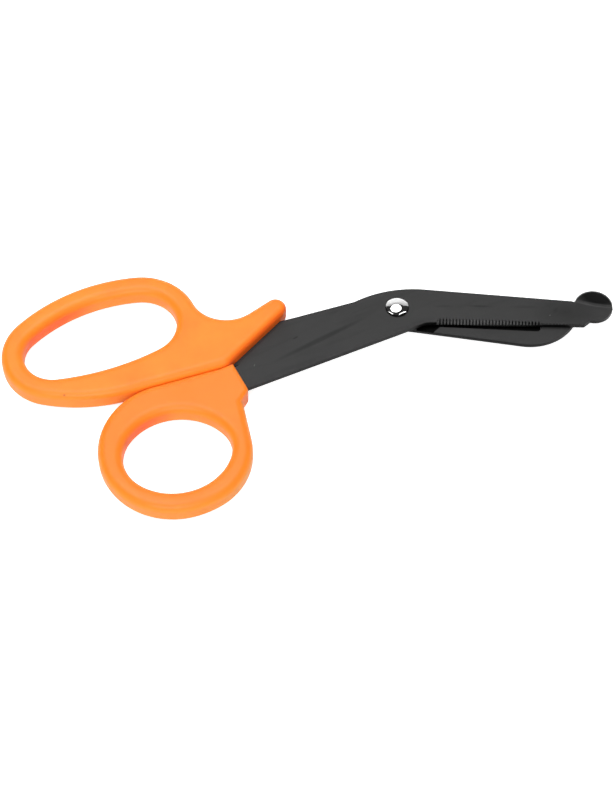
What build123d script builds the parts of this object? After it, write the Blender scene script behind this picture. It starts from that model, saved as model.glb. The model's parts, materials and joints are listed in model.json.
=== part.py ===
"""Bandage scissors: two stamped steel blades on a rivet, each with a moulded plastic handle.

The outlines are drawn in plan about the pivot: the pivot axis is X = Y = 0, the blades point
to +X, and Z = 0 is the plane in which the two blades slide on each other. The finished pieces
are then moved so that the origin is under the middle of the closed, lying scissors.
"""
import os
from math import asin, atan2, cos, degrees, hypot, radians, sin, sqrt, tan

from build123d import *

# Blade sheet and edges
blade_sheet = 1.5
blade_gap = 0.1
front_bevel_run = 0.9
front_edge_land = 0.35
front_bevel_rise = 1.4
plain_bevel_run = 0.9
plain_edge_land = 0.12

# Pivot rivet
shank_dia = 4.0
shank_clearance = 0.05
head_dia = 6.8
head_height = 1.45
head_rim = 0.25
head_clearance = 0.05
tail_dia = 6.0
tail_height = 0.6
tail_chamfer = 0.3

# Foot blade: the serrated front blade with the bent foot
back_top_x = 5.0
back_top_y = 6.95
back_radius = 35.0
front_tang_top_offset = 6.7
front_tang_top_angle = 32.0
front_tang_top_round = 12.0
front_tang_low_offset = 8.95
front_tang_low_angle = 24.5
front_edge_drop = 5.65
front_edge_fall = 1.15
front_edge_end = 56.7
heel_round = 6.0
toe_step_angle = 42.0
toe_step_round = 0.7

# Foot of the front blade
nose_reach = 8.22
nose_angle = 65.6
nose_radius = 5.9
crease_fall = 13.0
crease_sag = 0.6
foot_angle = 60.0
foot_height = 4.8
foot_rim = 0.7
foot_bend_radius = 1.2
foot_flare_radius = 1.0
foot_flare_lip = 0.5

# Serrations of the front blade's bevel
tooth_start = 12.9
tooth_pitch = 1.0
tooth_width = 0.5
tooth_depth = 0.7
tooth_faint_start = 43.5
tooth_faint_depth = 0.2

# Plain blade: the back blade with the round tip
plain_heel_radius = 7.1
plain_tang_top_angle = 18.3
plain_tang_low_angle = 16.4
plain_edge_offset = 1.9
plain_edge_fall = 6.7
plain_ricasso_round = 4.0
plain_back_drop = 6.6
plain_back_fall = 9.4
plain_back_round = 20.0
plain_tip_x = 37.5
plain_tip_radius = 16.0
plain_tip_round = 0.8
relief_start = 5.8
relief_end = 43.5
relief_depth = 0.5
relief_below_edge = 0.6
relief_spread = 2.0
relief_slope = 45.0
relief_land = 1.5
relief_round = 1.2

# Tang tongues inside the handles
tang_entry = 0.8
front_tongue_length = 16.0
front_tongue_width = 7.0
front_tongue_angle = 200.0
plain_tongue_length = 17.0
plain_tongue_width = 9.0
plain_tongue_angle = 186.0
tongue_round = 2.0
anchor_hole_dia = 4.0

# Both handles
handle_thickness = 7.5
handle_gap = 0.4
hole_round = 2.7

# Thumb handle: a near round rim about an oval hole, with a flat mouth for the front tang
thumb_hole_reach = 36.9
thumb_hole_angle = 239.7
thumb_hole_radius = 12.75
thumb_hole_near_radius = 10.8
thumb_hole_tilt = 14.2
thumb_hole_flatness = 1.1
thumb_wall = 6.0
thumb_rim_band = 9.7
thumb_rim_shift = 3.45
thumb_rim_shift_angle = 49.0
thumb_rim_spread = 2.9
thumb_rim_tilt = -25.8
thumb_rim_taper = 2.3
thumb_rim_flatness = 4.9
thumb_edge_round = 2.7
thumb_corner_round = 5.0
thumb_side_lean = 12.0
mouth_reach = 54.4
mouth_angle = 204.3
mouth_face_angle = -63.0
mouth_face_length = 8.8
mouth_edge_round = 1.5
mouth_nub_radius = 1.9
mouth_nub_return = 242.0
mouth_depth = 12.0
mouth_turn = 8.0

# Finger handle: a long oval loop with a horn in front of it
finger_hole_reach = 32.7
finger_hole_angle = 151.8
finger_hole_near_radius = 11.3
finger_hole_far_radius = 9.4
finger_hole_spread = 27.15
finger_hole_tilt = 24.4
finger_hole_upper_radius = 47.3
finger_hole_lower_radius = 76.1
finger_band = 6.7
finger_edge_round = 2.4
finger_under_radius = 50.0
finger_corner_back = 1.5
finger_corner_round = 3.0
horn_reach = 25.8
horn_angle = 57.2
horn_tip_radius = 3.3
horn_top_angle = 38.5
saddle_radius = 11.1


def polar(radius, angle, center=Vector(0, 0)):
    """Point at a radius and an angle in degrees about a centre."""
    return center + Vector(radius * cos(radians(angle)), radius * sin(radians(angle)))


def heading(start, end):
    """Angle in degrees of the direction from one point to another."""
    return degrees(atan2(end.Y - start.Y, end.X - start.X))


def offset_line(offset, angle):
    """A line as (point, angle), passing the pivot at an offset to the left of its direction."""
    return polar(offset, angle + 90), angle


def meet(first, second):
    """Crossing point of two lines given as (point, angle)."""
    (p, a), (q, b) = first, second
    reach = ((q - p).X * sin(radians(b)) - (q - p).Y * cos(radians(b))) / sin(radians(b - a))
    return polar(reach, a, p)


def meet_circle(line, center, radius, side):
    """Crossing of a line and a circle, the later one along the line for side 1, the earlier for -1."""
    point, angle = line
    along = Vector(cos(radians(angle)), sin(radians(angle)))
    foot = point + along * (center - point).dot(along)
    half_chord = sqrt(radius**2 - (center - foot).length ** 2)
    return foot + along * (side * half_chord)


def tangent_angle(point, center, radius, side):
    """Heading of the tangent from a point to a circle, to the left (1) or right (-1) of its centre."""
    reach = (center - point).length
    return heading(point, center) + side * degrees(asin(radius / reach))


def arc(center, radius, start_angle, end_angle):
    """Arc from one angle to another, turning left when the end angle is the larger one."""
    return CenterArc((center.X, center.Y), radius, start_angle, end_angle - start_angle)


def arc_between(center, start, end, turn):
    """Arc about a centre from one point to another, turning left (1) or right (-1)."""
    first = heading(center, start)
    sweep = (turn * (heading(center, end) - first)) % 360
    return arc(center, (start - center).length, first, first + turn * sweep)


def rounded(face, point, radius):
    """Sketch with the corner nearest to a point rounded."""
    corner = face.vertices().sort_by_distance((point.X, point.Y, 0))[0]
    return fillet(corner, radius)


def side_center(c1, r1, c2, r2, side_radius, side):
    """Centre of the arc that runs along one side of two circles and touches both from outside."""
    near, far = side_radius - r1, side_radius - r2
    spread = (c2 - c1).length
    along = (spread**2 + near**2 - far**2) / (2 * spread)
    across = sqrt(near**2 - along**2)
    angle = heading(c1, c2)
    return polar(across, angle - side * 90, polar(along, angle, c1))


def touch(center, circle, radius):
    """Point where an outer arc about a centre touches a circle inside it."""
    return polar(radius, heading(center, circle), circle)


def oval(c1, r1, c2, r2, left_radius, right_radius):
    """Egg outline of two end circles joined by two side arcs, all tangent."""
    left = side_center(c1, r1, c2, r2, left_radius, 1)
    right = side_center(c1, r1, c2, r2, right_radius, -1)
    edges = [
        arc_between(left, touch(left, c2, r2), touch(left, c1, r1), 1),
        arc_between(c1, touch(left, c1, r1), touch(right, c1, r1), 1),
        arc_between(right, touch(right, c1, r1), touch(right, c2, r2), 1),
        arc_between(c2, touch(right, c2, r2), touch(left, c2, r2), 1),
    ]
    return make_face(edges)


def plate(sketch, low, high):
    """Flat plate of a plan outline between two heights."""
    return extrude(Pos(0, 0, low) * sketch, high - low)


def edge_loop(body, z, inner=False):
    """Edges round the flat face at a height: its outline, or its hole."""
    face = body.faces().filter_by(Plane.XY).sort_by(lambda f: abs(f.center().Z - z))[0]
    return face.inner_wires()[0].edges() if inner else face.outer_wire().edges()


def handle_plate(sketch, edge_round):
    """Handle body on both sides of the blade plane, with its outer edges rounded."""
    half = handle_thickness / 2
    body = plate(sketch, -half, half)
    return fillet(edge_loop(body, half) + edge_loop(body, -half), edge_round)


def with_finger_hole(body, hole):
    """Handle body with a hole through it, and the hole's edges rounded."""
    half = handle_thickness / 2
    body = body - plate(hole, -handle_thickness, handle_thickness)
    return fillet(edge_loop(body, half, True) + edge_loop(body, -half, True), hole_round)


# Heights of the two blades: their inner faces are half the gap from the blade plane
inner_face = blade_gap / 2
outer_face = inner_face + blade_sheet

# Foot in its own plane, its x pointing to the pivot: a round top and a flare that runs into the spine
foot_radius = (nose_radius**2 + foot_height**2) / (2 * foot_height)
foot_center = Vector(0, foot_height - foot_radius)
flare_rise = foot_flare_radius + foot_flare_lip - blade_sheet / 2
flare_run = sqrt((foot_radius + foot_flare_radius) ** 2 - (flare_rise - foot_center.Y) ** 2)
flare_center = Vector(flare_run, flare_rise)

# Plan of the front blade's edge, and of the nose and the crease beyond it
front_edge = offset_line(-front_edge_drop, -front_edge_fall)
edge_end = meet(front_edge, (Vector(front_edge_end, 0), 90))
nose = polar(nose_reach, nose_angle, edge_end)
crease_left = polar(flare_run, 180 - crease_fall, nose)
crease_right = polar(nose_radius, -crease_fall, nose)
crease_half = (flare_run + nose_radius) / 2
crease_radius = (crease_half**2 + crease_sag**2) / (2 * crease_sag)
crease_center = polar(crease_radius - crease_sag, 90 - crease_fall, (crease_left + crease_right) / 2)

# Plan of the thumb handle: both loops are set out from the corner of its mouth
mouth_corner = polar(mouth_reach, mouth_angle)
mouth_face = (mouth_corner, mouth_face_angle)
thumb_far = polar(thumb_hole_reach, thumb_hole_angle, mouth_corner)
rim_far = polar(thumb_rim_shift, thumb_rim_shift_angle, thumb_far)
rim_far_radius = thumb_hole_radius + thumb_rim_band
rim_near = polar(thumb_rim_spread, thumb_rim_tilt, rim_far)
rim_near_radius = rim_far_radius - thumb_rim_taper
rim_side_radius = (rim_far_radius + rim_near_radius + thumb_rim_spread) / 2 + thumb_rim_flatness
rim_end = meet_circle((thumb_far, thumb_hole_tilt), rim_near, rim_near_radius, 1)
thumb_near = polar(thumb_wall + thumb_hole_near_radius, thumb_hole_tilt + 180, rim_end)
thumb_hole_length = thumb_hole_radius + (thumb_near - thumb_far).length + thumb_hole_near_radius
thumb_side_radius = thumb_hole_length / 2 + thumb_hole_flatness
contact_angle = tangent_angle(mouth_corner, rim_far, rim_far_radius, -1)

# Plan of the finger handle: its contact wall keeps the handle gap to the thumb handle
contact_start = polar(handle_gap, contact_angle - 90, mouth_corner)
finger_corner = polar(finger_corner_back, contact_angle, contact_start)
horn_tip = polar(horn_reach, horn_angle, finger_corner)
front_wall_angle = tangent_angle(finger_corner, horn_tip, horn_tip_radius, -1)
front_wall = (finger_corner, front_wall_angle)
finger_near = polar(finger_hole_reach, finger_hole_angle, mouth_corner)
finger_far = polar(finger_hole_spread, finger_hole_tilt + 180, finger_near)


def tongue(wall, low_line, top_line, length, width, angle):
    """Narrow end of a tang inside its handle, with the hole that the plastic fills."""
    middle = (meet(wall, low_line) + meet(wall, top_line)) / 2
    strip = Rectangle(length + tang_entry, width, align=(Align.MIN, Align.CENTER))
    strip = fillet(strip.vertices().sort_by(Axis.X)[-2:], tongue_round)
    hole = Pos(length - width / 2, 0) * Circle(anchor_hole_dia / 2)
    return Pos(middle.X, middle.Y) * Rot(0, 0, angle) * (strip - hole)


def tang_end(wall, turn):
    """Line that a tang's full width runs to, a little inside the wall of its handle."""
    point, angle = wall
    return polar(tang_entry, angle + turn * 90, point), angle


def front_blade_plan():
    """Outline of the foot blade up to the crease of the foot."""
    back_center = Vector(back_top_x, back_top_y - back_radius)
    spine_angle = tangent_angle(crease_left, back_center, back_radius, -1)
    back_end = polar(back_radius, spine_angle - 90, back_center)
    top_line = offset_line(front_tang_top_offset, front_tang_top_angle)
    low_line = offset_line(-front_tang_low_offset, front_tang_low_angle)
    end_line = tang_end(mouth_face, -1)
    shoulder = meet_circle(top_line, back_center, back_radius, -1)
    top_end = meet(end_line, top_line)
    low_end = meet(end_line, low_line)
    heel = meet(low_line, front_edge)
    step_end = meet_circle((edge_end, toe_step_angle), nose, nose_radius, -1)
    edges = [
        Line(top_end, shoulder),
        arc_between(back_center, shoulder, back_end, -1),
        Line(back_end, crease_left),
        arc_between(crease_center, crease_left, crease_right, 1),
        arc_between(nose, crease_right, step_end, -1),
        Line(step_end, edge_end),
        Line(edge_end, heel),
        Line(heel, low_end),
        Line(low_end, top_end),
    ]
    sketch = make_face(edges)
    sketch = rounded(sketch, shoulder, front_tang_top_round)
    sketch = rounded(sketch, heel, heel_round)
    sketch = rounded(sketch, edge_end, toe_step_round)
    sketch = rounded(sketch, step_end, toe_step_round)
    strip = tongue(mouth_face, low_line, top_line,
                   front_tongue_length, front_tongue_width, front_tongue_angle)
    return sketch + strip


def bevel_cutter(start, end, side, bevel_run, edge_land, rise=0):
    """Wedge that grinds a bevel on an outer face (side 1 up, -1 down), left of start to end.

    A rise in degrees lets the bevel run out of the face towards its end.
    """
    run = (end - start).length
    low = inner_face + edge_land
    profile = make_face(Polyline((0, 0), (-bevel_run, 0), (-bevel_run, blade_sheet),
                                 (2 * bevel_run, blade_sheet), (bevel_run, outer_face - low), close=True))
    across = (end - start).cross(Vector(0, 0, -1))
    along = (end - start) + Vector(0, 0, run * tan(radians(rise)))
    wedge = extrude(Plane(origin=(start.X, start.Y, low), x_dir=across, z_dir=along) * profile, run)
    return wedge if side > 0 else mirror(wedge, Plane.XY)


def tooth_cutters():
    """V grooves down the bevel of the front blade, fainter towards the tip."""
    angle = front_edge[1]
    slope = degrees(atan2(blade_sheet - front_edge_land, front_bevel_run))
    groove_reach = hypot(front_bevel_run, blade_sheet) + front_bevel_run
    cutters = []
    count = int((front_edge_end - tooth_start) / tooth_pitch)
    for index in range(count):
        reach = index * tooth_pitch
        depth = tooth_depth if tooth_start + reach < tooth_faint_start else tooth_faint_depth
        width = tooth_width * depth / tooth_depth
        root = meet(front_edge, (Vector(tooth_start + reach, 0), 90))
        vee = make_face(Polyline((-width, -depth), (width, -depth), (0, depth), close=True))
        low = inner_face + front_edge_land + reach * tan(radians(front_bevel_rise))
        frame = Plane(origin=(root.X, root.Y, low), x_dir=(cos(radians(angle)), sin(radians(angle)), 0),
                      z_dir=(-sin(radians(angle)) * cos(radians(slope)),
                             cos(radians(angle)) * cos(radians(slope)), sin(radians(slope))))
        cutters.append(extrude(frame * vee, groove_reach, both=True))
    return cutters


def foot_plan():
    """Outline of the foot in its own plane, from below the bend to its round top."""
    join = polar(foot_radius, heading(foot_center, flare_center), foot_center)
    flare_end = flare_center - Vector(0, foot_flare_radius)
    right = Vector(-nose_radius, 0)
    return make_face([
        arc_between(flare_center, flare_end, join, -1),
        arc_between(foot_center, join, right, 1),
        Polyline(right, (right.X, -blade_sheet), (flare_end.X, -blade_sheet), flare_end),
    ])


def bent_foot():
    """Foot bent up along the curved crease: a turned strip with a thin rim, cut to the foot's outline."""
    bend_out = foot_bend_radius + blade_sheet
    bend_z = outer_face + foot_bend_radius
    start_angle = heading(crease_center, crease_left)
    sweep = heading(crease_center, crease_right) - start_angle
    frame = Plane(origin=(crease_left.X, crease_left.Y, bend_z),
                  x_dir=(-cos(radians(start_angle)), -sin(radians(start_angle)), 0),
                  z_dir=(-sin(radians(start_angle)), cos(radians(start_angle)), 0))
    center = Vector(0, 0)
    lean = foot_angle - 90
    inner_end = polar(foot_bend_radius, lean, center)
    outer_end = polar(bend_out, lean, center)
    inner_top = polar(foot_height, foot_angle, inner_end)
    outer_top = polar(foot_rim, lean, inner_top)
    profile = make_face([
        arc(center, bend_out, -90, lean),
        Polyline(outer_end, outer_top, inner_top, inner_end),
        arc(center, foot_bend_radius, lean, -90),
        Line(Vector(0, -foot_bend_radius), Vector(0, -bend_out)),
    ])
    strip = revolve(frame * profile, Axis((crease_center.X, crease_center.Y, 0), (0, 0, 1)), sweep)
    back_angle = radians(90 - crease_fall)
    lean_back = cos(radians(foot_angle))
    foot_plane = Plane(origin=(nose.X, nose.Y, bend_z - foot_bend_radius - blade_sheet / 2),
                       x_dir=(-sin(back_angle), cos(back_angle), 0),
                       z_dir=(cos(back_angle) * sin(radians(foot_angle)),
                              sin(back_angle) * sin(radians(foot_angle)), -lean_back))
    return strip & extrude(foot_plane * foot_plan(), flare_run + nose_radius, both=True)


def make_foot_blade():
    """Front blade: serrated bevel, rivet hole, bent foot and tang."""
    sketch = front_blade_plan() - Circle(shank_dia / 2 + shank_clearance)
    blade = plate(sketch, inner_face, outer_face) + bent_foot()
    bevel_start = meet(front_edge, (Vector(tooth_start - tooth_pitch, 0), 90))
    blade = blade - bevel_cutter(bevel_start, edge_end, 1,
                                 front_bevel_run, front_edge_land, front_bevel_rise)
    return blade - tooth_cutters()


def plain_blade_plan():
    """Outline of the plain blade, with its ricasso, its tip and its edge line."""
    top_line = offset_line(plain_heel_radius, plain_tang_top_angle)
    back_line = (Vector(0, -plain_back_drop), -plain_back_fall)
    low_line = (Vector(0, -plain_back_drop), plain_tang_low_angle)
    edge_line = offset_line(plain_edge_offset, -plain_edge_fall)
    end_line = tang_end(front_wall, 1)
    pivot = Vector(0, 0)
    tip_start = meet(back_line, (Vector(plain_tip_x, 0), 90))
    tip_center = polar(plain_tip_radius, 90 - plain_back_fall, tip_start)
    tip = meet_circle(edge_line, tip_center, plain_tip_radius, 1)
    ricasso = meet_circle(edge_line, pivot, plain_heel_radius, 1)
    heel_start = polar(plain_heel_radius, plain_tang_top_angle + 90)
    top_end = meet(end_line, top_line)
    low_end = meet(end_line, low_line)
    back_corner = Vector(0, -plain_back_drop)
    edges = [
        Line(top_end, heel_start),
        arc_between(pivot, heel_start, ricasso, -1),
        Line(ricasso, tip),
        arc_between(tip_center, tip, tip_start, -1),
        Line(tip_start, back_corner),
        Line(back_corner, low_end),
        Line(low_end, top_end),
    ]
    sketch = make_face(edges)
    sketch = rounded(sketch, ricasso, plain_ricasso_round)
    sketch = rounded(sketch, tip, plain_tip_round)
    sketch = rounded(sketch, back_corner, plain_back_round)
    strip = tongue(front_wall, low_line, top_line,
                   plain_tongue_length, plain_tongue_width, plain_tongue_angle)
    return sketch + strip, ricasso, tip, edge_line


def relief_plan(edge_line):
    """Hollow on the plain blade's inner face: long below the front blade's edge, open at the ricasso."""
    top_line = (polar(relief_land, edge_line[1] - 90, edge_line[0]), edge_line[1])
    step = meet(front_edge, (Vector(tooth_start, 0), 90)) - Vector(0, relief_below_edge)
    low_line = (step, -front_edge_fall - relief_spread)
    open_line = (Vector(0, -plain_back_drop - blade_sheet), -plain_back_fall)
    left = (Vector(relief_start, 0), 90)
    right = (Vector(relief_end, 0), 90)
    low_end = meet(low_line, right)
    top_end = meet(top_line, right)
    sketch = make_face(Polyline(meet(open_line, left), meet(open_line, (step, relief_slope)), step,
                                low_end, top_end, meet(top_line, left), close=True))
    sketch = rounded(sketch, low_end, relief_round)
    return rounded(sketch, top_end, relief_round)


def make_plain_blade():
    """Back blade: plain bevel on its lower face, hollow relief, rivet hole and tang."""
    sketch, ricasso, tip, edge_line = plain_blade_plan()
    blade = plate(sketch - Circle(shank_dia / 2), -outer_face, -inner_face)
    bevel_start = polar(plain_ricasso_round, edge_line[1], ricasso)
    blade = blade - bevel_cutter(tip, bevel_start, -1, plain_bevel_run, plain_edge_land)
    return blade - plate(relief_plan(edge_line), -inner_face - relief_depth, 0)


def make_thumb_handle(tang):
    """Round rim about the thumb hole, with the flat mouth that holds the front tang."""
    hole = oval(thumb_far, thumb_hole_radius, thumb_near, thumb_hole_near_radius,
                thumb_side_radius, thumb_side_radius)
    under = side_center(rim_far, rim_far_radius, rim_near, rim_near_radius, rim_side_radius, -1)
    under_end = touch(under, rim_near, rim_near_radius)
    contact_end = polar(rim_far_radius, contact_angle - 90, rim_far)
    side_start = polar(rim_near_radius, thumb_side_lean, rim_near)
    corner = meet((contact_end, contact_angle), (side_start, thumb_side_lean + 90))
    rim = make_face([
        arc_between(rim_far, contact_end, touch(under, rim_far, rim_far_radius), 1),
        arc_between(under, touch(under, rim_far, rim_far_radius), under_end, 1),
        arc_between(rim_near, under_end, side_start, 1),
        Line(side_start, corner),
        Line(corner, contact_end),
    ])
    rim = rounded(rim, corner, thumb_corner_round)
    body = handle_plate(rim, thumb_edge_round) + handle_plate(mouth_plan(), mouth_edge_round)
    return with_finger_hole(body, hole) - tang


def mouth_plan():
    """Flat mouth of the thumb handle: its face, the nub below the tang and a buried back."""
    nub_end = polar(mouth_face_length + mouth_nub_radius, mouth_face_angle, mouth_corner)
    back_end = polar(mouth_depth, contact_angle + mouth_turn, mouth_corner)
    buried = polar(mouth_depth, mouth_nub_return, nub_end)
    sketch = make_face(Polyline(mouth_corner, back_end, buried, nub_end, close=True))
    return rounded(sketch, nub_end, mouth_nub_radius)


def make_finger_handle(tang):
    """Long loop with a smooth outline that runs into the contact wall, the horn and the saddle."""
    far_radius = finger_hole_far_radius + finger_band
    near_radius = finger_hole_near_radius + finger_band
    hole = oval(finger_far, finger_hole_far_radius, finger_near, finger_hole_near_radius,
                finger_hole_upper_radius, finger_hole_lower_radius)
    over_radius = finger_hole_upper_radius + finger_band
    over = side_center(finger_far, far_radius, finger_near, near_radius, over_radius, 1)
    under_line = (polar(finger_under_radius, contact_angle - 90, contact_start), contact_angle + 180)
    under = meet_circle(under_line, finger_far, finger_under_radius - far_radius, 1)
    over_start = touch(over, finger_near, near_radius)
    over_end = touch(over, finger_far, far_radius)
    under_start = touch(under, finger_far, far_radius)
    under_end = polar(finger_under_radius, contact_angle + 90, under)
    horn_low = polar(horn_tip_radius, front_wall_angle - 90, horn_tip)
    horn_high = polar(horn_tip_radius, horn_top_angle + 90, horn_tip)
    saddle_line = (polar(saddle_radius, horn_top_angle + 90, horn_high), horn_top_angle)
    saddle = meet_circle(saddle_line, finger_near, near_radius + saddle_radius, 1)
    saddle_end = polar(saddle_radius, horn_top_angle - 90, saddle)
    saddle_start = polar(near_radius, heading(finger_near, saddle), finger_near)
    outline = make_face([
        arc_between(finger_near, saddle_start, over_start, 1),
        arc_between(over, over_start, over_end, 1),
        arc_between(finger_far, over_end, under_start, 1),
        arc_between(under, under_start, under_end, 1),
        Line(under_end, finger_corner),
        Line(finger_corner, horn_low),
        arc_between(horn_tip, horn_low, horn_high, 1),
        Line(horn_high, saddle_end),
        arc_between(saddle, saddle_end, saddle_start, -1),
    ])
    outline = rounded(outline, finger_corner, finger_corner_round)
    body = handle_plate(outline, finger_edge_round)
    return with_finger_hole(body, hole) - tang


def make_rivet():
    """One-piece rivet: polished domed head, shank through both blades, low formed tail."""
    seat = outer_face + head_clearance
    head_radius = head_dia / 2
    cap = head_height - head_rim
    dome_radius = (head_radius**2 + cap**2) / (2 * cap)
    dome_center = Vector(0, seat + head_height - dome_radius)
    crown = Vector(0, seat + head_height)
    rim = Vector(head_radius, seat + head_rim)
    tail_radius = tail_dia / 2
    tail_end = -outer_face - tail_height
    profile = make_face([
        arc_between(dome_center, crown, rim, -1),
        Polyline(rim, (head_radius, seat), (shank_dia / 2, seat), (shank_dia / 2, -outer_face),
                 (tail_radius, -outer_face), (tail_radius, tail_end), (0, tail_end), crown),
    ])
    tail_corner = profile.vertices().sort_by_distance((tail_radius, tail_end, 0))[0]
    profile = chamfer(tail_corner, tail_chamfer)
    return revolve(Plane.XZ * profile, Axis.Z)


def build():
    """All pieces in the pivot's frame, by name."""
    foot_blade = make_foot_blade()
    plain_blade = make_plain_blade()
    return {
        "foot_blade": foot_blade,
        "plain_blade": plain_blade,
        "thumb_handle": make_thumb_handle(foot_blade),
        "finger_handle": make_finger_handle(plain_blade),
        "pivot_rivet": make_rivet(),
    }


pieces = build()
boxes = [piece.bounding_box() for piece in pieces.values()]
left, right = min(b.min.X for b in boxes), max(b.max.X for b in boxes)
front, back = min(b.min.Y for b in boxes), max(b.max.Y for b in boxes)
bottom = min(b.min.Z for b in boxes)
origin = Pos(-(left + right) / 2, -(front + back) / 2, -bottom)
print("pivot axis at X %.3f, Y %.3f, blade plane at Z %.3f mm" % tuple(origin.position))
os.makedirs("parts", exist_ok=True)
for name, piece in pieces.items():
    export_step(origin * piece, f"parts/{name}.step")
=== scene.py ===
"""Bandage scissors on a pale studio sweep: moulded orange handles, black coated blades, a chrome rivet.

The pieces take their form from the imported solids. This script gives each its finish, and makes the
stage, the lamps and the camera. Lengths are in metres, and the places of marks in millimetres.
"""

import json
from math import cos, pi, radians, sin

import bmesh
import bpy
from bpy.props import FloatProperty, FloatVectorProperty, PointerProperty
from mathutils import Matrix, Vector


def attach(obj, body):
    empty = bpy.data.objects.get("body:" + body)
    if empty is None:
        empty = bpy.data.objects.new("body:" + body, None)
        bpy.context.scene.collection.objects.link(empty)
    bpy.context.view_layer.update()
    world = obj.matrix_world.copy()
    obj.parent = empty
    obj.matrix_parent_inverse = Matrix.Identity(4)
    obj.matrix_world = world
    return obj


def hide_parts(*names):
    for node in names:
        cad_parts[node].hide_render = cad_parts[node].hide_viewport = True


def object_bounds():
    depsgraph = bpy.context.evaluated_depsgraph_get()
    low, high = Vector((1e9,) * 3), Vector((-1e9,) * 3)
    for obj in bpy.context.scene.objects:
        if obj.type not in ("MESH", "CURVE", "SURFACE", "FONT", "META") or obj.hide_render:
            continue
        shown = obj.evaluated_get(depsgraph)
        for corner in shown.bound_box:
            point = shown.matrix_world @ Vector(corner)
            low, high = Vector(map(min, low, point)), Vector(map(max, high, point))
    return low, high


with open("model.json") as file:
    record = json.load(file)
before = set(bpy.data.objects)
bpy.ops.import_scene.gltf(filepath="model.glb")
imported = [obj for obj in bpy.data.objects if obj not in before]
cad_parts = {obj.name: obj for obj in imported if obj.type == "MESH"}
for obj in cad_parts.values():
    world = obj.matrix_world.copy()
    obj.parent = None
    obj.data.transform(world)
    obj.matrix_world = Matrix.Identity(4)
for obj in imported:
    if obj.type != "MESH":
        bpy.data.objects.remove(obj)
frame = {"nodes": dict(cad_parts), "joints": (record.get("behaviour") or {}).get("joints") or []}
cad_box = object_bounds()
pivot = Vector(frame["joints"][0]["pos_m"])

bl_info = {
    "name": "Bandage Scissors",
    "version": (1, 0, 0),
    "blender": (4, 5, 0),
    "location": "View3D > Sidebar > Scissors",
    "description": "Finishes the scissors' pieces and sets them on a studio sweep",
    "category": "Object",
}

MM = 0.001

# Smoothing of the solids' faces; at the full weight the largest face at a corner sets its normal
WELD_DISTANCE = 0.002 * MM
SHARP_ANGLE = radians(32)
FULL_WEIGHT = 100

# Range in which noise values mostly lie, and the middle and spread that stretch it from 0 to 1
NOISE_LOW = 0.3
NOISE_HIGH = 0.7
FULL_RANGE = (0.5, 0.5)

# Drawn streaks: output, length over width, width in line widths, noise values where they start and are full
STREAKS = (
    ("Lines", 60.0, 1.0, 0.6, 0.72),
    ("Smudges", 9.0, 26.0, 0.5, 0.7),
)

# Plastic: share of the light that goes under the skin, and how far red, green and blue get there
PLASTIC_IOR = 1.4
PLASTIC_ROUGHNESS_SPREAD = 0.04
BLEED_SHARE = 0.3
BLEED_BY_COLOUR = (1.0, 0.3, 0.15)

# Coating and chrome: drawn lines are smoother than the coating, and polishing lines rougher than the chrome
COATING_IOR = 1.36
COATING_ROUGHNESS_SPREAD = 0.05
DRAWN_LINE_POLISH = 0.05
CHROME_ROUGHNESS_SPREAD = 0.02
POLISHING_LINE_ROUGHNESS = 0.06

# Walls by how far they face up or down: the limit above which a surface is no wall, and that of a full wall
# Painted light: the handles' side walls take a paler tone in place of light that the lamps don't give them
LIT_RIM_FACING = (0.97, 0.4)
# Painted shade falls on the blades' upright sheared edges
SHADED_EDGE_FACING = (0.4, 0.15)
HORN_FACING = (0.96, 0.55)
STEEP_FACING = (0.85, 0.1)

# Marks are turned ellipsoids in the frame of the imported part, in millimetres and degrees. Each ends with its
# centre, angle, half sizes and, where it isn't the usual one, softness of its border.
USUAL_SOFTNESS = 0.6
LOOP_FLECK = ((-72.5, -2.6, 6.9), 0, (0.6, 0.6, 0.6), 0.9)

# Painted shade on walls of the plastic, a deeper colour where shade falls, each with its colour and the way it
# faces
# before its place: the horn's side, the far walls of the long hole and of the round one, and the mouth's nub
HANDLE_MIDDLE = pivot.z / MM
SHADED_WALLS = [
    ("blade_wall_shade_colour", HORN_FACING, (-13.5, 20.9, 5.0), 46, (18.0, 5.5, 9.0), 0.2),
    ("hole_shade_colour", STEEP_FACING, (-79.0, 22.0, HANDLE_MIDDLE), 45, (19.0, 9.0, 12.0)),
    ("hole_shade_colour", STEEP_FACING, (-50.0, -16.0, HANDLE_MIDDLE), 45, (14.0, 8.0, 12.0)),
    ("blade_wall_shade_colour", STEEP_FACING, (-18.3, -2.0, HANDLE_MIDDLE), 0, (5.0, 6.0, 10.0), 1.0),
]
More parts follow.
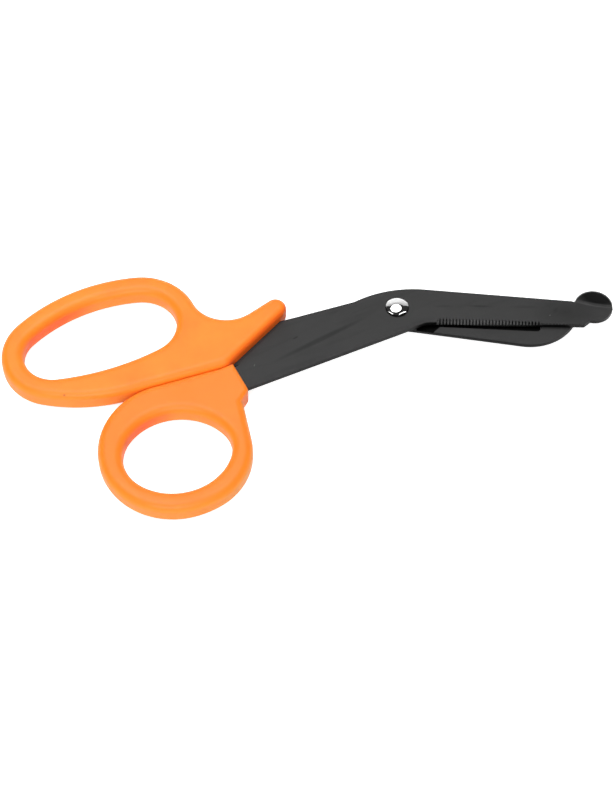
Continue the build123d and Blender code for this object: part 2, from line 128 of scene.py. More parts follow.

# Marks of the coating, each with its colour and the share of the shine that it lacks before its place; some
# are painted light and shade. The painted shadow ring round the rivet sits a little to the front of the pivot
FRONT_FACE = 5.3
SHADOW_RING_SHIFT = 0.25
SHADOW_RING_MIDDLE = (pivot.x / MM, pivot.y / MM - SHADOW_RING_SHIFT, FRONT_FACE)
FRONT_MARKS = [
    # Paler stretch of the blade, painted sheen on the nose below its bend, and the worn serrations
    ("paler_colour", 0, (45.0, 28.4, FRONT_FACE), -3, (26.0, 3.6, 1.5)),
    # Painted sheen on the nose, below the foot's bend
    ("paler_colour", 0, (87.5, 29.6, FRONT_FACE), -9, (5.0, 1.9, 1.0)),
    ("edge_colour", 0, (54.5, 25.5, 4.7), -3, (18.0, 1.0, 1.0), 0.3),
    # Painted shade: darker stretch before the nose
    ("marks_and_shade_colour", 0, (78.0, 29.5, FRONT_FACE), 0, (11.0, 7.0, 1.0), 1.0),
    # Light specks on the tang and by the nose
    ("speck_colour", 0, (-16.6, 9.5, FRONT_FACE), 75, (0.6, 0.2, 0.3)),
    ("speck_colour", 0, (73.1, 28.3, FRONT_FACE), 60, (0.3, 0.2, 0.3)),
    # Dark marks by the nose and in the middle of the blade, and painted shadow and reflection on the tang
    ("marks_and_shade_colour", 0, (74.9, 30.1, FRONT_FACE), 60, (1.6, 0.8, 0.5)),
    # Painted shadow under the horn, on the tang's spine
    ("marks_and_shade_colour", 0, (-4.4, 19.8, FRONT_FACE), 32, (1.2, 0.5, 0.3)),
    # Painted darker reflection along the tang
    ("marks_and_shade_colour", 0, (3.1, 19.1, FRONT_FACE), 31, (17.0, 1.1, 0.5)),
    # Dark mark in the middle of the blade
    ("marks_and_shade_colour", 0, (51.8, 31.8, FRONT_FACE), -2, (4.5, 0.5, 0.3), 1.0),
    # Smudges in the middle of the blade
    ("smudge_colour", 0, (41.0, 31.8, FRONT_FACE), 0, (3.5, 0.6, 0.3)),
    ("smudge_colour", 0, (66.0, 31.5, FRONT_FACE), -1, (6.0, 0.7, 0.3)),
    # Painted shade on the foot's inner face, and a painted shadow ring round the rivet's head: dark, with
    # little shine
    ("marks_and_shade_colour", 0.42, (87.9, 33.3, 8.2), -10, (7.0, 3.2, 3.5), 0.35),
    ("marks_and_shade_colour", 0.95, SHADOW_RING_MIDDLE, 0, (3.74, 3.87, 2.0), 0.08),
]

# Painted shade: the floor of the back blade's hollow is dark and without shine all over; its mark is a thin
# slab, wider than the part
HOLLOW_FLOOR = 3.2
ALL_OVER = 1000
BACK_SHADE_MARKS = [("marks_and_shade_colour", 0.95, (0, 0, HOLLOW_FLOOR), 0, (ALL_OVER, ALL_OVER, 0.3))]

# Sweep under and behind the part; the gap keeps it off the lowest faces
SWEEP_HALF_WIDTH = 1.5
SWEEP_FRONT = 3.0
SWEEP_BEND = 0.35
SWEEP_BEND_STEPS = 12
SWEEP_GAP = 0.05 * MM
SWEEP_ROUGHNESS = 0.9

# Lamps: where each hangs and the point that it faces; strips run between two points in plan about the pivot
TOP_LAMP_PLACE = (-0.14, 0.2, 1.1)
TOP_LAMP_AIM = (-0.14, 0.15, 0)
FRONT_LAMP_PLACE = (-0.05, -1.1, 0.93)
FRONT_LAMP_AIM = (0, 0, 0)
LEFT_STRIP_ENDS = ((-1.28, 0.14), (-0.37, -0.5))
RIGHT_STRIP_ENDS = ((0.17, -0.53), (1.04, -0.08))

# Width of the camera's sensor in the millimetres of its lens
SENSOR_WIDTH = 36


class HandleSettings(bpy.types.PropertyGroup):
    """Finish of the two moulded handles."""
    finger_colour: FloatVectorProperty(
        name="Finger handle", description="Colour of the large handle's plastic", subtype="COLOR",
        size=3, min=0, max=1, default=(1.0, 0.238, 0.012))
    thumb_colour: FloatVectorProperty(
        name="Thumb handle", description="Colour of the small handle's plastic", subtype="COLOR",
        size=3, min=0, max=1, default=(1.0, 0.205, 0.012))
    shade_colour: FloatVectorProperty(
        name="Deep tone", description="Tone of the slow colour drift in the plastic", subtype="COLOR",
        size=3, min=0, max=1, default=(1.0, 0.197, 0.010))
    # Painted light: paler tone on the side walls, standing in for light through the plastic
    lit_rim_colour: FloatVectorProperty(
        name="Rims", description="Paler colour of the plastic on the side walls", subtype="COLOR",
        size=3, min=0, max=1, default=(1.0, 0.305, 0.03))
    # Painted shade: deeper colours on the holes' far walls, and on the walls by the blades and at the nub
    hole_shade_colour: FloatVectorProperty(
        name="Hole walls", description="Deep colour of the holes' far walls", subtype="COLOR",
        size=3, min=0, max=1, default=(1.0, 0.145, 0.009))
    blade_wall_shade_colour: FloatVectorProperty(
        name="Blade walls", description="Deep colour of the walls by the blades", subtype="COLOR",
        size=3, min=0, max=1, default=(1.0, 0.15, 0.012))
    fleck_colour: FloatVectorProperty(
        name="Fleck", description="Colour of the dark fleck on the long loop", subtype="COLOR",
        size=3, min=0, max=1, default=(0.5, 0.12, 0.012))
    roughness: FloatProperty(
        name="Roughness", description="Mean roughness of the satin skin", subtype="FACTOR",
        min=0, max=1, default=0.42)
    grain_size: FloatProperty(
        name="Grain size", description="Size of the eroded mould texture", unit="LENGTH", default=0.22 * MM)
    grain_height: FloatProperty(
        name="Grain height", description="Height of the mould texture", unit="LENGTH", default=0.004 * MM)
    drift_size: FloatProperty(
        name="Drift size", description="Size of the slow colour drift", unit="LENGTH", default=14 * MM)
    bleed: FloatProperty(
        name="Light bleed", description="How far light goes under the skin", unit="LENGTH", default=1.0 * MM)


class BladeSettings(bpy.types.PropertyGroup):
    """Finish of the two coated blades."""
    colour: FloatVectorProperty(
        name="Coating", description="Colour of the black coating", subtype="COLOR",
        size=3, min=0, max=1, default=(0.0147, 0.0147, 0.0147))
    smudge_colour: FloatVectorProperty(
        name="Smudges", description="Colour of the darker drawn streaks", subtype="COLOR",
        size=3, min=0, max=1, default=(0.0105, 0.0105, 0.0105))
    # Dark colour of real marks, and of the places that are painted shade
    marks_and_shade_colour: FloatVectorProperty(
        name="Marks", description="Colour of the dark marks and of dull places", subtype="COLOR",
        size=3, min=0, max=1, default=(0.002, 0.002, 0.002))
    # Paler colour of stretches of the coating; on the nose it is painted sheen
    paler_colour: FloatVectorProperty(
        name="Rubbed", description="Colour where the coating is rubbed paler", subtype="COLOR",
        size=3, min=0, max=1, default=(0.0165, 0.0165, 0.0165))
    edge_colour: FloatVectorProperty(
        name="Serrations", description="Colour of the coating worn along the serrations", subtype="COLOR",
        size=3, min=0, max=1, default=(0.05, 0.05, 0.05))
    speck_colour: FloatVectorProperty(
        name="Specks", description="Colour of the light specks in the coating", subtype="COLOR",
        size=3, min=0, max=1, default=(0.055, 0.058, 0.055))
    roughness: FloatProperty(
        name="Roughness", description="Mean roughness of the coating", subtype="FACTOR",
        min=0, max=1, default=0.46)
    # Painted shade: share of the shine taken from the sheared edges
    edge_shade: FloatProperty(
        name="Dull edges", description="Share of the shine that the sheared edges lack", subtype="FACTOR",
        min=0, max=1, default=0.44)
    grain_size: FloatProperty(
        name="Grain size", description="Size of the blasted grain", unit="LENGTH", default=0.12 * MM)
    grain_height: FloatProperty(
        name="Grain height", description="Height of the blasted grain", unit="LENGTH", default=0.0015 * MM)
    drift_size: FloatProperty(
        name="Drift size", description="Size of the slow drift in roughness", unit="LENGTH", default=9 * MM)
    line_width: FloatProperty(
        name="Line width", description="Width of the thinnest drawn lines", unit="LENGTH", default=0.12 * MM)
    front_angle: FloatProperty(
        name="Front streaks", description="Turn of the front blade's streaks", subtype="ANGLE",
        default=radians(-24))
    back_angle: FloatProperty(
        name="Back streaks", description="Turn of the back blade's streaks", subtype="ANGLE",
        default=radians(-17))


class RivetSettings(bpy.types.PropertyGroup):
    """Finish of the chrome rivet."""
    colour: FloatVectorProperty(
        name="Chrome", description="Colour of the chrome", subtype="COLOR",
        size=3, min=0, max=1, default=(0.86, 0.86, 0.86))
    roughness: FloatProperty(
        name="Roughness", description="Mean roughness of the polish", subtype="FACTOR",
        min=0, max=1, default=0.07)
    grain_size: FloatProperty(
        name="Grain size", description="Size of the faint unevenness", unit="LENGTH", default=0.3 * MM)
    grain_height: FloatProperty(
        name="Grain height", description="Height of the faint unevenness", unit="LENGTH",
        default=0.0006 * MM)
    drift_size: FloatProperty(
        name="Drift size", description="Size of the slow drift in roughness", unit="LENGTH", default=2 * MM)
    line_width: FloatProperty(
        name="Line width", description="Width of the polishing lines", unit="LENGTH", default=0.05 * MM)
    line_angle: FloatProperty(
        name="Line turn", description="Turn of the polishing lines", subtype="ANGLE", default=0.6)


class StageSettings(bpy.types.PropertyGroup):
    """Camera, sweep and lamps."""
    camera_distance: FloatProperty(
        name="Camera distance", description="From the camera to its aim", unit="LENGTH", default=0.6)
    camera_elevation: FloatProperty(
        name="Elevation", description="How far the camera looks down", subtype="ANGLE", default=radians(55))
    camera_aim: FloatVectorProperty(
        name="Aim", description="Point that the camera looks at, from the pivot", subtype="TRANSLATION",
        size=3, default=(-27.37 * MM, -33.62 * MM, 0))
    camera_lens: FloatProperty(
        name="Lens", description="Focal length of the camera", unit="CAMERA", default=118.47)
    floor_colour: FloatVectorProperty(
        name="Sweep", description="Colour of the floor and backdrop", subtype="COLOR",
        size=3, min=0, max=1, default=(0.82, 0.82, 0.82))
    floor_glow: FloatProperty(
        name="Sweep lift", description="Glow that lifts the sweep to white in the picture", subtype="FACTOR",
        min=0, max=1, default=0.75)
    mirror_glow: FloatProperty(
        name="Mirrored lift", description="Glow that lifts the sweep in reflections", subtype="FACTOR",
        min=0, max=1, default=0.3)
    wall_distance: FloatProperty(
        name="Backdrop distance", description="From the origin to the backdrop", unit="LENGTH", default=1.2)
    wall_height: FloatProperty(
        name="Backdrop height", description="Height of the backdrop", unit="LENGTH", default=1.55)
    top_lamp_power: FloatProperty(
        name="Top lamp", description="Power of the oval lamp overhead", unit="POWER", min=0, default=15.6)
    top_lamp_size: FloatProperty(
        name="Top lamp size", description="Length of the oval lamp overhead", unit="LENGTH", default=1.4)
    top_lamp_width: FloatProperty(
        name="Top lamp width", description="Width of the oval lamp overhead", unit="LENGTH", default=1.16)
    front_lamp_power: FloatProperty(
        name="Front lamp", description="Power of the soft lamp in front", unit="POWER", min=0, default=11.5)
    front_lamp_size: FloatProperty(
        name="Front lamp size", description="Length of the lamp in front", unit="LENGTH", default=1.2)
    front_lamp_width: FloatProperty(
        name="Front lamp width", description="Width of the lamp in front", unit="LENGTH", default=0.3)
    strip_power: FloatProperty(
        name="Strip lamps", description="Power of each strip lamp", unit="POWER", min=0, default=0.4)
    strip_width: FloatProperty(
        name="Strip width", description="Width of the strip lamps", unit="LENGTH", default=0.045)
    strip_height: FloatProperty(
        name="Strip height", description="Height of the strip lamps over the pivot", unit="LENGTH",
        default=0.78)
    world_level: FloatProperty(
        name="Room", description="Brightness of the room beyond the lamps", subtype="FACTOR",
        min=0, max=1, default=0.03)


class ScissorsSettings(bpy.types.PropertyGroup):
    """All settings of the scissors."""
    handles: PointerProperty(name="Handles", description="Finish of the handles", type=HandleSettings)
    blades: PointerProperty(name="Blades", description="Finish of the blades", type=BladeSettings)
    rivet: PointerProperty(name="Rivet", description="Finish of the rivet", type=RivetSettings)
    stage: PointerProperty(name="Stage", description="Camera, sweep and lamps", type=StageSettings)


# Nodes and shared effects

def node(tree, kind, **values):
    """New shader node; keywords that name an input set it, and the others set the node's own values."""
    made = tree.nodes.new(kind)
    for name, value in values.items():
        socket = made.inputs.get(name.replace("_", " "))
        if socket is None:
            setattr(made, name, value)
        else:
            socket.default_value = value
    return made


def link(tree, source, target):
    """Link from an output socket to an input socket."""
    tree.links.new(source, target)


def math_node(tree, operation, first, second):
    """Math node; each operand is a socket or a number."""
    made = tree.nodes.new("ShaderNodeMath")
    made.operation = operation
    for socket, operand in zip(made.inputs, (first, second)):
        if isinstance(operand, bpy.types.NodeSocket):
            link(tree, operand, socket)
        else:
            socket.default_value = operand
    return made.outputs[0]


def mix_colour(tree, share, first, second):
    """Colour between two, each a socket or an RGB value."""
    made = tree.nodes.new("ShaderNodeMix")
    made.data_type = "RGBA"
    link(tree, share, made.inputs["Factor"])
    for name, operand in (("A", first), ("B", second)):
        socket = [s for s in made.inputs if s.name == name and s.type == "RGBA"][0]
        if isinstance(operand, bpy.types.NodeSocket):
            link(tree, operand, socket)
        else:
            socket.default_value = (*operand, 1)
    return [s for s in made.outputs if s.type == "RGBA"][0]


def new_group(name, inputs, outputs):
    """Empty shader node group with named sockets, and its input and output nodes."""
    tree = bpy.data.node_groups.new(name, "ShaderNodeTree")
    for label, kind, default in inputs:
        socket = tree.interface.new_socket(name=label, in_out="INPUT", socket_type=kind)
        socket.default_value = default
    for label, kind in outputs:
        tree.interface.new_socket(name=label, in_out="OUTPUT", socket_type=kind)
    return tree, tree.nodes.new("NodeGroupInput"), tree.nodes.new("NodeGroupOutput")


def grain_group():
    """Fine surface grain: a height for bump, and a slow drift for colour and roughness."""
    inputs = [("Grain Size", "NodeSocketFloat", 0.2 * MM), ("Drift Size", "NodeSocketFloat", 20 * MM)]
    outputs = [("Height", "NodeSocketFloat"), ("Drift", "NodeSocketFloat")]
    tree, given, result = new_group("fine_grain", inputs, outputs)
    place = node(tree, "ShaderNodeTexCoord")
    fine = node(tree, "ShaderNodeTexNoise", Detail=3.0, Roughness=0.6)
    link(tree, place.outputs["Object"], fine.inputs["Vector"])
    link(tree, math_node(tree, "DIVIDE", 1.0, given.outputs["Grain Size"]), fine.inputs["Scale"])
    slow = node(tree, "ShaderNodeTexNoise", Detail=4.0, Roughness=0.55)
    link(tree, place.outputs["Object"], slow.inputs["Vector"])
    link(tree, math_node(tree, "DIVIDE", 1.0, given.outputs["Drift Size"]), slow.inputs["Scale"])
    link(tree, fine.outputs["Fac"], result.inputs["Height"])
    link(tree, slow.outputs["Fac"], result.inputs["Drift"])
    return tree


def streak_group():
    """Long faint marks along one direction: a mask of thin lines and a mask of broad smudges."""
    inputs = [("Angle", "NodeSocketFloat", 0.0), ("Line Width", "NodeSocketFloat", 0.1 * MM)]
    outputs = [("Lines", "NodeSocketFloat"), ("Smudges", "NodeSocketFloat")]
    tree, given, result = new_group("drawn_streaks", inputs, outputs)
    place = node(tree, "ShaderNodeTexCoord")
    turn = node(tree, "ShaderNodeVectorRotate", rotation_type="Z_AXIS")
    link(tree, place.outputs["Object"], turn.inputs["Vector"])
    link(tree, given.outputs["Angle"], turn.inputs["Angle"])
    for label, stretch, width, low, high in STREAKS:
        squeeze = node(tree, "ShaderNodeVectorMath", operation="MULTIPLY")
        squeeze.inputs[1].default_value = (1 / stretch, 1, 1)
        link(tree, turn.outputs["Vector"], squeeze.inputs[0])
        marks = node(tree, "ShaderNodeTexNoise", Detail=2.0, Roughness=0.5)
        link(tree, squeeze.outputs["Vector"], marks.inputs["Vector"])
        spacing = math_node(tree, "MULTIPLY", given.outputs["Line Width"], width)
        link(tree, math_node(tree, "DIVIDE", 1.0, spacing), marks.inputs["Scale"])
        steps = node(tree, "ShaderNodeMapRange", From_Min=low, From_Max=high)
        link(tree, marks.outputs["Fac"], steps.inputs["Value"])
        link(tree, steps.outputs["Result"], result.inputs[label])
    return tree


def mark_group():
    """A soft-edged mark about a point of the object: a turned ellipsoid with given half sizes."""
    inputs = [("Centre", "NodeSocketVector", (0, 0, 0)), ("Angle", "NodeSocketFloat", 0.0),
              ("Reach", "NodeSocketVector", (MM, MM, MM)), ("Softness", "NodeSocketFloat", USUAL_SOFTNESS)]
    tree, given, result = new_group("soft_mark", inputs, [("Mask", "NodeSocketFloat")])
    place = node(tree, "ShaderNodeTexCoord")
    offset = node(tree, "ShaderNodeVectorMath", operation="SUBTRACT")
    link(tree, place.outputs["Object"], offset.inputs[0])
    link(tree, given.outputs["Centre"], offset.inputs[1])
    turn = node(tree, "ShaderNodeVectorRotate", rotation_type="Z_AXIS", invert=True)
    link(tree, offset.outputs["Vector"], turn.inputs["Vector"])
    link(tree, given.outputs["Angle"], turn.inputs["Angle"])
    shape = node(tree, "ShaderNodeVectorMath", operation="DIVIDE")
    link(tree, turn.outputs["Vector"], shape.inputs[0])
    link(tree, given.outputs["Reach"], shape.inputs[1])
    reach = node(tree, "ShaderNodeVectorMath", operation="LENGTH")
    link(tree, shape.outputs["Vector"], reach.inputs[0])
    fade = node(tree, "ShaderNodeMapRange", From_Max=1.0, To_Min=1.0, To_Max=0.0)
    link(tree, reach.outputs["Value"], fade.inputs["Value"])
    link(tree, math_node(tree, "SUBTRACT", 1.0, given.outputs["Softness"]), fade.inputs["From Min"])
    link(tree, fade.outputs["Result"], result.inputs["Mask"])
    return tree


def wall_group():
    """Upright surfaces: a mask that fades as they face further up or down."""
    inputs = [("No Wall", "NodeSocketFloat", 1.0), ("Full Wall", "NodeSocketFloat", 0.0)]
    tree, given, result = new_group("upright_walls", inputs, [("Mask", "NodeSocketFloat")])
    surface = node(tree, "ShaderNodeNewGeometry")
    facing = node(tree, "ShaderNodeSeparateXYZ")
    link(tree, surface.outputs["Normal"], facing.inputs["Vector"])
    fade = node(tree, "ShaderNodeMapRange", To_Min=1.0, To_Max=0.0)
    link(tree, math_node(tree, "ABSOLUTE", facing.outputs["Z"], 0.0), fade.inputs["Value"])
    link(tree, given.outputs["Full Wall"], fade.inputs["From Min"])
    link(tree, given.outputs["No Wall"], fade.inputs["From Max"])
    link(tree, fade.outputs["Result"], result.inputs["Mask"])
    return tree


def use_group(tree, name, maker, **values):
    """Node that places a shared group, which is built the first time it is used."""
    made = tree.nodes.new("ShaderNodeGroup")
    made.node_tree = bpy.data.node_groups.get(name) or maker()
    for label, value in values.items():
        made.inputs[label.replace("_", " ")].default_value = value
    return made


def grain_of(tree, settings):
    """Fine grain with a finish's own sizes."""
    return use_group(tree, "fine_grain", grain_group, Grain_Size=settings.grain_size,
                     Drift_Size=settings.drift_size)


def mark_mask(tree, centre, angle, reach, softness=USUAL_SOFTNESS):
    """Mask of a soft mark; the centre and the half sizes are in millimetres, the angle in degrees."""
    made = use_group(tree, "soft_mark", mark_group, Centre=Vector(centre) * MM, Angle=radians(angle),
                     Reach=Vector(reach) * MM, Softness=softness)
    return made.outputs["Mask"]


def wall_mask(tree, no_wall, full_wall):
    """Mask of the walls, between two limits of how far a surface faces up or down."""
    made = use_group(tree, "upright_walls", wall_group, No_Wall=no_wall, Full_Wall=full_wall)
    return made.outputs["Mask"]


def new_material(name):
    """New material, its node tree and its Principled shader."""
    material = bpy.data.materials.new(name)
    material.use_nodes = True
    return material, material.node_tree, material.node_tree.nodes["Principled BSDF"]


def bump(tree, height, distance, shader):
    """Bump from a height socket to the shader's normal."""
    made = node(tree, "ShaderNodeBump", Strength=1.0, Distance=distance)
    link(tree, height, made.inputs["Height"])
    link(tree, made.outputs["Normal"], shader.inputs["Normal"])


def around(tree, value, middle, spread):
    """A noise value stretched from its usual range to one about a middle value."""
    scale = node(tree, "ShaderNodeMapRange", From_Min=NOISE_LOW, From_Max=NOISE_HIGH,
                 To_Min=middle - spread, To_Max=middle + spread)
    link(tree, value, scale.inputs["Value"])
    return scale.outputs["Result"]


# Materials

def plastic_material(settings, name, plastic):
    """Satin moulded plastic: eroded grain, slow colour drift, painted light and shade on walls, light under
    the skin.
    """
    material, tree, shader = new_material(name)
    grain = grain_of(tree, settings)
    drift = around(tree, grain.outputs["Drift"], *FULL_RANGE)
    colour = mix_colour(tree, drift, plastic, settings.shade_colour)
    # Painted light: paler tone on the side walls
    colour = mix_colour(tree, wall_mask(tree, *LIT_RIM_FACING), colour, settings.lit_rim_colour)
    # Painted shade: deeper colours on walls where shade falls
    for tone, facing, *place in SHADED_WALLS:
        mask = math_node(tree, "MULTIPLY", wall_mask(tree, *facing), mark_mask(tree, *place))
        colour = mix_colour(tree, mask, colour, getattr(settings, tone))
    colour = mix_colour(tree, mark_mask(tree, *LOOP_FLECK), colour, settings.fleck_colour)
    link(tree, colour, shader.inputs["Base Color"])
    rough = around(tree, grain.outputs["Drift"], settings.roughness, PLASTIC_ROUGHNESS_SPREAD)
    link(tree, rough, shader.inputs["Roughness"])
    bump(tree, grain.outputs["Height"], settings.grain_height, shader)
    shader.inputs["IOR"].default_value = PLASTIC_IOR
    shader.inputs["Subsurface Weight"].default_value = BLEED_SHARE
    shader.inputs["Subsurface Radius"].default_value = BLEED_BY_COLOUR
    shader.inputs["Subsurface Scale"].default_value = settings.bleed
    return material


def coating_material(settings, name, angle, marks):
    """Black coating on blasted steel: fine grain, faint drawn streaks along the blade, and single marks.

    Painted shade: the upright sheared edges and the places of the shade marks are black metal, which gives
    back almost no light.
    """
    material, tree, shader = new_material(name)
    grain = grain_of(tree, settings)
    streaks = use_group(tree, "drawn_streaks", streak_group, Angle=angle, Line_Width=settings.line_width)
    colour = mix_colour(tree, streaks.outputs["Smudges"], settings.colour, settings.smudge_colour)
    # Painted shade: the upright sheared edges take the dark colour and lose their shine, as do the shade marks
    edges = wall_mask(tree, *SHADED_EDGE_FACING)
    colour = mix_colour(tree, edges, colour, settings.marks_and_shade_colour)
    painted_shade = math_node(tree, "MULTIPLY", edges, settings.edge_shade)
    for tone, shade_share, *place in marks:
        mask = mark_mask(tree, *place)
        colour = mix_colour(tree, mask, colour, getattr(settings, tone))
        if shade_share:
            painted_shade = math_node(tree, "MAXIMUM", painted_shade, math_node(tree, "MULTIPLY", mask, shade_share))
    link(tree, colour, shader.inputs["Base Color"])
    link(tree, painted_shade, shader.inputs["Metallic"])
    rough = around(tree, grain.outputs["Drift"], settings.roughness, COATING_ROUGHNESS_SPREAD)
    polish = math_node(tree, "MULTIPLY", streaks.outputs["Lines"], DRAWN_LINE_POLISH)
    rough = math_node(tree, "SUBTRACT", rough, polish)
    link(tree, rough, shader.inputs["Roughness"])
    bump(tree, grain.outputs["Height"], settings.grain_height, shader)
    shader.inputs["IOR"].default_value = COATING_IOR
    return material


def chrome_material(settings):
    """Polished chrome with faint polishing lines."""
    material, tree, shader = new_material("chrome")
    grain = grain_of(tree, settings)
    streaks = use_group(tree, "drawn_streaks", streak_group, Angle=settings.line_angle,
                        Line_Width=settings.line_width)
    shader.inputs["Base Color"].default_value = (*settings.colour, 1)
    shader.inputs["Metallic"].default_value = 1.0
    rough = around(tree, grain.outputs["Drift"], settings.roughness, CHROME_ROUGHNESS_SPREAD)
    scratches = math_node(tree, "MULTIPLY", streaks.outputs["Lines"], POLISHING_LINE_ROUGHNESS)
    rough = math_node(tree, "ADD", rough, scratches)
    link(tree, rough, shader.inputs["Roughness"])
    bump(tree, grain.outputs["Height"], settings.grain_height, shader)
    return material


def sweep_material(settings):
    """Pale matt sweep that keeps the shadow and is lifted to white in the picture and in reflections."""
    material, tree, shader = new_material("pale_sweep")
    shader.inputs["Base Color"].default_value = (*settings.floor_colour, 1)
    shader.inputs["Roughness"].default_value = SWEEP_ROUGHNESS
    shader.inputs["Specular IOR Level"].default_value = 0.0
    path = node(tree, "ShaderNodeLightPath")
    seen = math_node(tree, "MULTIPLY", path.outputs["Is Camera Ray"], settings.floor_glow)
    mirrored = math_node(tree, "MULTIPLY", path.outputs["Is Glossy Ray"], settings.mirror_glow)
    shader.inputs["Emission Color"].default_value = (1, 1, 1, 1)
    link(tree, math_node(tree, "MAXIMUM", seen, mirrored), shader.inputs["Emission Strength"])
    return material


# Pieces

def smooth_copy(node_name, piece_name):
    """Piece with the solid's form: its faces welded, smooth over rounds and sharp at hard edges."""
    source = frame["nodes"][node_name].data
    mesh = bpy.data.meshes.new(piece_name)
    work = bmesh.new()
    work.from_mesh(source)
    bmesh.ops.remove_doubles(work, verts=work.verts, dist=WELD_DISTANCE)
    bmesh.ops.dissolve_degenerate(work, edges=work.edges, dist=WELD_DISTANCE)
    for face in work.faces:
        face.smooth = True
    for edge in work.edges:
        edge.smooth = len(edge.link_faces) == 2 and edge.calc_face_angle(pi) < SHARP_ANGLE
    work.to_mesh(mesh)
    work.free()
    piece = bpy.data.objects.new(piece_name, mesh)
    bpy.context.scene.collection.objects.link(piece)
    flatten = piece.modifiers.new("flat_faces_stay_flat", "WEIGHTED_NORMAL")
    flatten.keep_sharp = True
    flatten.weight = FULL_WEIGHT
    return piece


def dress(node_name, piece_name, body, material):
    """Piece that stands for a solid, with its finish, riding on the solid's body."""
    piece = smooth_copy(node_name, piece_name)
    piece.data.materials.append(material)
    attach(piece, body)
    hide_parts(node_name)


class SCISSORS_OT_handles(bpy.types.Operator):
    """Finish the thumb handle and the finger handle"""
    bl_idname = "scissors.handles"
    bl_label = "Moulded Handles"

    def execute(self, context):
        settings = context.scene.scissors.handles
        thumb = plastic_material(settings, "thumb_plastic", settings.thumb_colour)
        finger = plastic_material(settings, "finger_plastic", settings.finger_colour)
        dress("thumb_handle", "moulded_thumb_handle", "thumb_half", thumb)
        dress("finger_handle", "moulded_finger_handle", "finger_half", finger)
        return {"FINISHED"}


class SCISSORS_OT_blades(bpy.types.Operator):
    """Finish the serrated foot blade and the plain blade"""
    bl_idname = "scissors.blades"
    bl_label = "Coated Blades"

    def execute(self, context):
        settings = context.scene.scissors.blades
        front = coating_material(settings, "front_coating", settings.front_angle, FRONT_MARKS)
        back = coating_material(settings, "back_coating", settings.back_angle, BACK_SHADE_MARKS)
        dress("foot_blade", "coated_foot_blade", "thumb_half", front)
        dress("plain_blade", "coated_plain_blade", "finger_half", back)
        return {"FINISHED"}


class SCISSORS_OT_rivet(bpy.types.Operator):
    """Finish the pivot rivet"""
    bl_idname = "scissors.rivet"
    bl_label = "Chrome Rivet"

    def execute(self, context):
        chrome = chrome_material(context.scene.scissors.rivet)
        dress("pivot_rivet", "chrome_rivet", "finger_half", chrome)
        return {"FINISHED"}


# Stage

def make_sweep(settings):
    """Floor that curves up into a backdrop behind the scissors."""
    low = cad_box[0][2] - SWEEP_GAP
    bend_start = settings.wall_distance - SWEEP_BEND
    profile = [(-SWEEP_FRONT, low), (bend_start, low)]
    for step in range(1, SWEEP_BEND_STEPS + 1):
        angle = radians(90) * step / SWEEP_BEND_STEPS
        profile.append((bend_start + SWEEP_BEND * sin(angle), low + SWEEP_BEND * (1 - cos(angle))))
    profile.append((settings.wall_distance, low + settings.wall_height))
    corners = [(side * SWEEP_HALF_WIDTH, y, z) for y, z in profile for side in (-1, 1)]
    faces = [(2 * i, 2 * i + 1, 2 * i + 3, 2 * i + 2) for i in range(len(profile) - 1)]
    mesh = bpy.data.meshes.new("studio_sweep")
    mesh.from_pydata(corners, [], faces)
    mesh.materials.append(sweep_material(settings))
    for face in mesh.polygons:
        face.use_smooth = True
    sweep = bpy.data.objects.new("studio_sweep", mesh)
    bpy.context.scene.collection.objects.link(sweep)


def make_lamp(name, place, aim, power, shape, size, width, along=(1, 0, 0)):
    """Area lamp at a place, facing a point, its length along a direction."""
    lamp = bpy.data.lights.new(name, "AREA")
    lamp.shape = shape
    lamp.size = size
    lamp.size_y = width
    lamp.energy = power
    made = bpy.data.objects.new(name, lamp)
    facing = (Vector(place) - Vector(aim)).normalized()
    length_axis = (Vector(along) - facing * facing.dot(Vector(along))).normalized()
    turn = Matrix((length_axis, facing.cross(length_axis), facing)).transposed()
    made.location = place
    made.rotation_euler = turn.to_euler()
    bpy.context.scene.collection.objects.link(made)


def make_strip(name, ends, settings):
    """Strip lamp between two points about the pivot, at the strips' height."""
    start, end = [Vector((*place, settings.strip_height)) for place in ends]
    make_lamp(name, pivot + (start + end) / 2, pivot, settings.strip_power, "RECTANGLE",
              (end - start).length, settings.strip_width, end - start)


def make_camera(settings):
    """Camera at the photograph's view: no turn, looking down from the front."""
    aim = pivot + Vector(settings.camera_aim)
    tilt = settings.camera_elevation
    camera = bpy.data.cameras.new("camera")
    camera.sensor_fit = "HORIZONTAL"
    camera.sensor_width = SENSOR_WIDTH
    camera.lens = settings.camera_lens
    made = bpy.data.objects.new("camera", camera)
    made.location = aim + settings.camera_distance * Vector((0, -cos(tilt), sin(tilt)))
    made.rotation_euler = (radians(90) - tilt, 0, 0)
    bpy.context.scene.collection.objects.link(made)
    bpy.context.scene.camera = made


def make_room(settings):
    """Room light: dim for the scissors, and white where the camera looks past the sweep."""
    world = bpy.data.worlds.new("room")
    world.use_nodes = True
    tree = world.node_tree
    room = tree.nodes["Background"]
    room.inputs["Color"].default_value = (1, 1, 1, 1)
    path = node(tree, "ShaderNodeLightPath")
    level = math_node(tree, "MAXIMUM", path.outputs["Is Camera Ray"], settings.world_level)
    link(tree, level, room.inputs["Strength"])
    bpy.context.scene.world = world


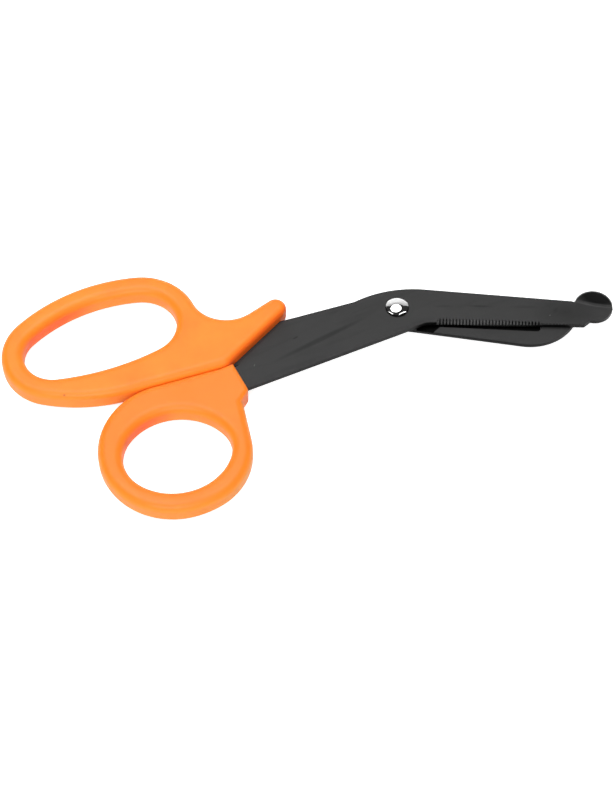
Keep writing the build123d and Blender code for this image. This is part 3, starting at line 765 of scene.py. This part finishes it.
class SCISSORS_OT_stage(bpy.types.Operator):
    """Make the sweep, the lamps, the room light and the camera"""
    bl_idname = "scissors.stage"
    bl_label = "Studio Stage"

    def execute(self, context):
        settings = context.scene.scissors.stage
        make_sweep(settings)
        make_lamp("top_lamp", TOP_LAMP_PLACE, TOP_LAMP_AIM, settings.top_lamp_power, "ELLIPSE",
                  settings.top_lamp_size, settings.top_lamp_width)
        make_lamp("front_lamp", FRONT_LAMP_PLACE, FRONT_LAMP_AIM, settings.front_lamp_power, "RECTANGLE",
                  settings.front_lamp_size, settings.front_lamp_width)
        make_strip("left_strip", LEFT_STRIP_ENDS, settings)
        make_strip("right_strip", RIGHT_STRIP_ENDS, settings)
        make_room(settings)
        make_camera(settings)
        context.scene.view_settings.view_transform = "Standard"
        return {"FINISHED"}


class SCISSORS_PT_panel(bpy.types.Panel):
    """Scissors panel in the sidebar"""
    bl_label = "Bandage Scissors"
    bl_idname = "SCISSORS_PT_panel"
    bl_space_type = "VIEW_3D"
    bl_region_type = "UI"
    bl_category = "Scissors"

    def draw(self, context):
        settings = context.scene.scissors
        sections = (
            (SCISSORS_OT_handles, settings.handles),
            (SCISSORS_OT_blades, settings.blades),
            (SCISSORS_OT_rivet, settings.rivet),
            (SCISSORS_OT_stage, settings.stage),
        )
        for operator, group in sections:
            box = self.layout.box()
            box.operator(operator.bl_idname)
            for name in group.__annotations__:
                box.prop(group, name)


classes = (
    HandleSettings, BladeSettings, RivetSettings, StageSettings, ScissorsSettings,
    SCISSORS_OT_handles, SCISSORS_OT_blades, SCISSORS_OT_rivet, SCISSORS_OT_stage,
    SCISSORS_PT_panel,
)


def register():
    """Register the classes and the scene's settings."""
    for item in classes:
        bpy.utils.register_class(item)
    bpy.types.Scene.scissors = PointerProperty(
        name="Scissors", description="All settings of the scissors", type=ScissorsSettings)


def unregister():
    """Take the settings and the classes away again."""
    del bpy.types.Scene.scissors
    for item in reversed(classes):
        bpy.utils.unregister_class(item)


def main():
    """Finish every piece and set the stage."""
    register()
    bpy.ops.scissors.handles()
    bpy.ops.scissors.blades()
    bpy.ops.scissors.rivet()
    bpy.ops.scissors.stage()


if __name__ == "__main__":
    main()
